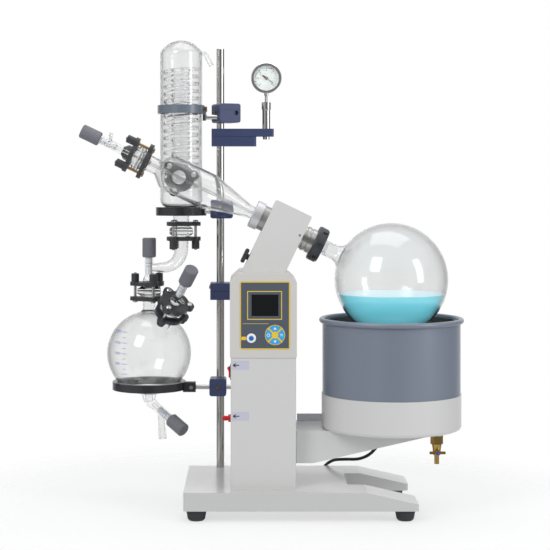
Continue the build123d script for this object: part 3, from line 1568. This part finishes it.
def make_bath_base():
    """Light-grey base pan of the bath, with a rounded lower edge and a rim for the pot."""
    wall = 4.0
    low = ARM_TOP
    outline = [
        (0, low),
        (BATH_BASE_R - 6, low),
        (BATH_BASE_R - 1.8, low + 1.8),
        (BATH_BASE_R, low + 6),
        (BATH_BASE_R, BATH_BASE_TOP),
        (BATH_BASE_R - wall, BATH_BASE_TOP),
        (BATH_BASE_R - wall, low + 3),
        (0, low + 3),
    ]
    pan = turned(outline, BATH)
    return pan - rod(5 + GAP, low - 1, low + 5, Pos(TAP_X, TAP_Y, 0))


def make_bath_pot():
    """Slate outer pot: a plain cylinder with a rolled rim and an inner ledge for the liner."""
    wall = POT_WALL
    bead = BATH_RIM_BEAD
    ledge = LINER_R + 1
    profile = Pos(BATH_R + BATH_RIM_R - BATH_R - bead, BATH_RIM_Z) * Circle(bead)
    low = BATH_BASE_TOP
    profile += Pos(BATH_R - wall / 2, (low + BATH_RIM_Z) / 2) * Rectangle(wall, BATH_RIM_Z - low)
    ledge_z = BATH_RIM_Z - 4
    width = BATH_R - ledge
    profile += Pos(ledge + width / 2, ledge_z) * Rectangle(width, 2.5)
    return BATH * revolve(Plane.XZ * profile, Axis.Z, 360)


def make_liner():
    """Stainless inner pot, hung by its lip from the outer pot's ledge."""
    wall = LINER_WALL
    lip_z = BATH_RIM_Z - 4 + 1.25
    lip_r = BATH_RIM_R - 2 * BATH_RIM_BEAD - 0.2
    outline = [
        (0, LINER_FLOOR),
        (LINER_R - 10, LINER_FLOOR),
        (LINER_R - 3, LINER_FLOOR + 3),
        (LINER_R, LINER_FLOOR + 10),
        (LINER_R, lip_z),
        (lip_r, lip_z),
        (lip_r, lip_z + wall),
        (LINER_R - wall, lip_z + wall),
        (LINER_R - wall, LINER_FLOOR + 10.6),
        (LINER_R - 4, LINER_FLOOR + 4.2),
        (LINER_R - 10.6, LINER_FLOOR + wall),
        (0, LINER_FLOOR + wall),
    ]
    pan = turned(outline, BATH)
    for side in (-1, 1):
        leg = Pos(FLASK_X + side * HEATER_RING_R, FLASK_Y, 0)
        pan -= rod(HEATER_TUBE_R + TRIM_GAP, LINER_FLOOR - 1, LINER_FLOOR + 4, leg)
    return pan - rod(3, LINER_FLOOR - 1, LINER_FLOOR + 4, Pos(TAP_X, TAP_Y, 0))


def make_heater():
    """Ring heater on the liner's floor, with its two legs through the floor."""
    height = LINER_FLOOR + LINER_WALL + HEATER_TUBE_R + GAP
    torus = BATH * Pos(0, 0, height) * Torus(HEATER_RING_R, HEATER_TUBE_R)
    for side in (-1, 1):
        leg = Pos(FLASK_X + side * HEATER_RING_R, FLASK_Y, 0)
        torus += rod(HEATER_TUBE_R, LINER_FLOOR - 12, height, leg)
    return torus


def make_arm():
    """Lift arm: a closed sheet box, deep at the cabinet and thin at its tip, with a rear rail."""
    outline = [
        (ARM_LEFT, ARM_BOTTOM),
        (ARM_KNEE, ARM_BOTTOM),
        (ARM_TIP, ARM_TIP_Z),
        (ARM_TIP, ARM_TOP),
        (ARM_LEFT, ARM_TOP),
    ]
    body = front_shape(outline, ARM_FRONT, ARM_BACK)
    body = fillet(body.edges().filter_by(Axis.Z), 2)
    wall = ARM_WALL
    inner = [
        (ARM_LEFT + wall, ARM_BOTTOM + wall),
        (ARM_KNEE, ARM_BOTTOM + wall),
        (ARM_TIP - wall, ARM_TIP_Z + wall),
        (ARM_TIP - wall, ARM_TOP - wall),
        (ARM_LEFT + wall, ARM_TOP - wall),
    ]
    body -= front_shape(inner, ARM_FRONT + wall, ARM_BACK - wall)
    rail = block(ARM_LEFT + 6, ARM_LEFT + 57, ARM_BACK - 4, ARM_BACK, ARM_TOP, ARM_TOP + 14)
    body += rail
    start = Vector(*LEAD_ROUTE[0])
    gland = along(start, Vector(*LEAD_ROUTE[1]) - start)
    body += rod(GLAND_R, -3, GLAND_LENGTH, gland)
    return body - rod(LEAD_R + TRIM_GAP, 0, GLAND_LENGTH + 1, gland)


def make_tap():
    """Brass drain tap: washer, hexagon, tapering body, boss for the handle and hose outlet."""
    place = Pos(TAP_X, TAP_Y, 0)
    top = ARM_TOP
    washer = ring(11, 5, top - 3, top, place)
    hexagon = place * Pos(0, 0, top - 19) * extrude(RegularPolygon(12.1, 6), amount=16)
    body = turned(
        [
            (0, TAP_BOTTOM),
            (4.6, TAP_BOTTOM),
            (4.6, TAP_HANDLE_Z - 8),
            (7, TAP_HANDLE_Z - 5),
            (8, TAP_HANDLE_Z + 6),
            (9.5, top - 19),
            (5, top - 19),
            (5, LINER_FLOOR),
            (0, LINER_FLOOR),
        ],
        place,
    )
    body = washer + hexagon + body
    front = along((TAP_X, TAP_Y, TAP_HANDLE_Z), Vector(0, -1, 0))
    body += rod(5, 0, 10, front)
    body -= rod(2.5 + RUNNING, 2, 11, front)
    return body - rod(3, TAP_BOTTOM - 1, LINER_FLOOR + 1, place)


def make_tap_handle():
    """Winged brass handle with a round boss, on the front of the tap."""
    front = along((TAP_X, TAP_Y, TAP_HANDLE_Z), Vector(0, -1, 0))
    hub = rod(5, 10 + GAP, 16, front) + rod(2.5, 3, 16, front)
    for side in (-1, 1):
        x = TAP_X + side * 9.5
        wing = block(x - 6, x + 6, TAP_Y - 14.5, TAP_Y - 11.5, TAP_HANDLE_Z - 2.6, TAP_HANDLE_Z + 2.6)
        hub += fillet(wing.edges().filter_by(Axis.Y), 2)
    return hub


def guide_middle():
    return (GUIDE_FRONT + GUIDE_BACK) / 2


def make_carriage():
    """Lift carriage: a block on two guide rods, its neck to the arm and the actuator's rod."""
    body = block(
        GUIDE_X - 14, CABINET_RIGHT - 8, GUIDE_FRONT - 12, GUIDE_BACK + 12, CARRIAGE_BOTTOM, CARRIAGE_TOP
    )
    body += block(
        CABINET_RIGHT - 8, ARM_LEFT, neck_front(), neck_back(), CARRIAGE_BOTTOM, CARRIAGE_TOP
    )
    for y in (GUIDE_FRONT, GUIDE_BACK):
        body -= rod(GUIDE_R + RUNNING, CARRIAGE_BOTTOM - 1, CARRIAGE_TOP + 1, Pos(GUIDE_X, y, 0))
    top = bridge_top() + 20
    return body + rod(PUSH_ROD_R, CARRIAGE_TOP, top, Pos(GUIDE_X, guide_middle(), 0))


def bridge_top():
    """Top of the bridge plate that the carriage comes up under."""
    return CARRIAGE_TOP + LIFT_TRAVEL + 3 + BRIDGE_THICK


def make_actuator():
    """Bridge plate across the cabinet with the linear actuator on it, and two guide rods."""
    top = bridge_top()
    low = top - BRIDGE_THICK
    wall = CABINET_WALL
    plate = block(
        CABINET_LEFT + wall, CABINET_RIGHT - wall, GUIDE_FRONT - 20, GUIDE_BACK + 20, low, top
    )
    centre = Pos(GUIDE_X, guide_middle(), 0)
    tube_top = top + 20 + LIFT_TRAVEL + 10
    plate += rod(15, top, tube_top, centre)
    box = block(
        GUIDE_X - 20, GUIDE_X + 20, guide_middle() - 18, guide_middle() + 18, tube_top, tube_top + 40
    )
    plate += box
    plate -= rod(PUSH_ROD_R + RUNNING, low - 1, tube_top - 4, centre)
    guides = []
    for y in (GUIDE_FRONT, GUIDE_BACK):
        place = Pos(GUIDE_X, y, 0)
        guides.append(rod(GUIDE_R, BASE_TOP + wall, low, place))
    return group(plate, *guides)


# Bath lead

def make_lead():
    """Lead that hangs from the arm's underside and goes round to the back of the cabinet."""
    points = [Vector(*p) for p in LEAD_ROUTE]
    runs = [(b - a).length for a, b in zip(points, points[1:])]
    radii = []
    for n in range(1, len(points) - 1):
        turn = (points[n] - points[n - 1]).get_angle(points[n + 1] - points[n])
        radii.append(0.45 * min(runs[n - 1], runs[n]) / math.tan(math.radians(turn) / 2))
    print("lead radii", [round(r, 1) for r in radii])
    path = FilletPolyline(*points, radius=radii)
    section = Plane(origin=path @ 0, z_dir=path % 0) * Circle(LEAD_R)
    lead = sweep(section, path)
    expected = math.pi * LEAD_R ** 2 * path.length
    print("lead length", round(path.length, 1), "volume share", round(lead.volume / expected, 4))
    return lead


DRAIN_START = Vector(DRAIN_X, GLASS_Y, DRAIN_Z)

nodes = {
    "base_tray": make_base(),
    "rubber_feet": make_feet(),
    "cabinet_shell": make_cabinet(),
    "control_housing": make_housing(),
    "control_panel": make_panel(),
    "display_board": make_display(),
    "head_housing": make_head(),
    "spindle_bearings": make_bearings(),
    "drive_motor": make_motor(),
    "lift_actuator": make_actuator(),
    "power_inlet": make_inlet(),
    "fuse_holder": make_fuse(),
    "switch_frame": make_switch_frame(),
    "support_pole": make_pole(),
    "pole_clamps": make_clamps(),
    "clamp_bolts": make_bolts(),
    "condenser_rings": make_condenser_rings(),
    "receiver_ring": make_receiver_ring(),
    "condenser_glass": make_condenser(),
    "condenser_coil": make_coil(),
    "vapour_tee": make_tee(),
    "feed_tube": make_feed_tube(),
    "valve_barrels": make_valves(),
    "flange_clamps": make_flange_clamps(),
    "flange_nuts": make_flange_nuts(),
    "joint_seals": make_seals(),
    "transfer_tube": make_transfer(),
    "receiving_flask": make_receiver(),
    "duct_nut": make_duct_nut(),
    "evaporating_flask": make_flask(),
    "flask_nut": make_flask_nut(),
    "spindle": make_spindle(),
    "vapour_duct": make_duct(),
    "drive_gear": make_gear(),
    "motor_pinion": make_pinion(),
    "lift_arm": make_arm(),
    "bath_base": make_bath_base(),
    "bath_pot": make_bath_pot(),
    "bath_liner": make_liner(),
    "ring_heater": make_heater(),
    "drain_tap": make_tap(),
    "lift_carriage": make_carriage(),
    "bath_lead": make_lead(),
    "tap_handle": make_tap_handle(),
    "feed_knob": make_knob(along(FLASK_CENTRE, -SLOPE, -FEED_KNOB)),
    "vent_knob": make_knob(Pos(RECEIVER_X, GLASS_Y, VENT_KNOB_Z)),
    "side_knob": make_knob(along(RECEIVER_CENTRE, SIDE_DIRECTION, SIDE_KNOB)),
    "drain_knob": make_knob(along(DRAIN_START, DRAIN_DIRECTION, DRAIN_VALVE)),
    "rocker_switch": make_rocker(),
    "power_button": make_button(),
    "key_up": make_key(0),
    "key_left": make_key(90),
    "key_down": make_key(180),
    "key_right": make_key(270),
    "gauge_needle": make_needle(),
    "lock_knob": make_lock_knob(),
    "gauge_bracket": make_gauge_bracket(),
    "gauge_tube": make_gauge_tube(),
    "gauge_case": make_gauge_case(),
    "gauge_lens": make_gauge_lens(),
}

CORDS = ("bath_lead",)
boxes = [shape.bounding_box() for name, shape in nodes.items() if name not in CORDS]
origin_x = (min(b.min.X for b in boxes) + max(b.max.X for b in boxes)) / 2
origin_y = (min(b.min.Y for b in boxes) + max(b.max.Y for b in boxes)) / 2
print("origin in the working frame", round(origin_x, 4), round(origin_y, 4))

os.makedirs("parts", exist_ok=True)
for name, shape in nodes.items():
    export_step(group(*[Pos(-origin_x, -origin_y, 0) * s for s in shape.solids()]), f"parts/{name}.step")
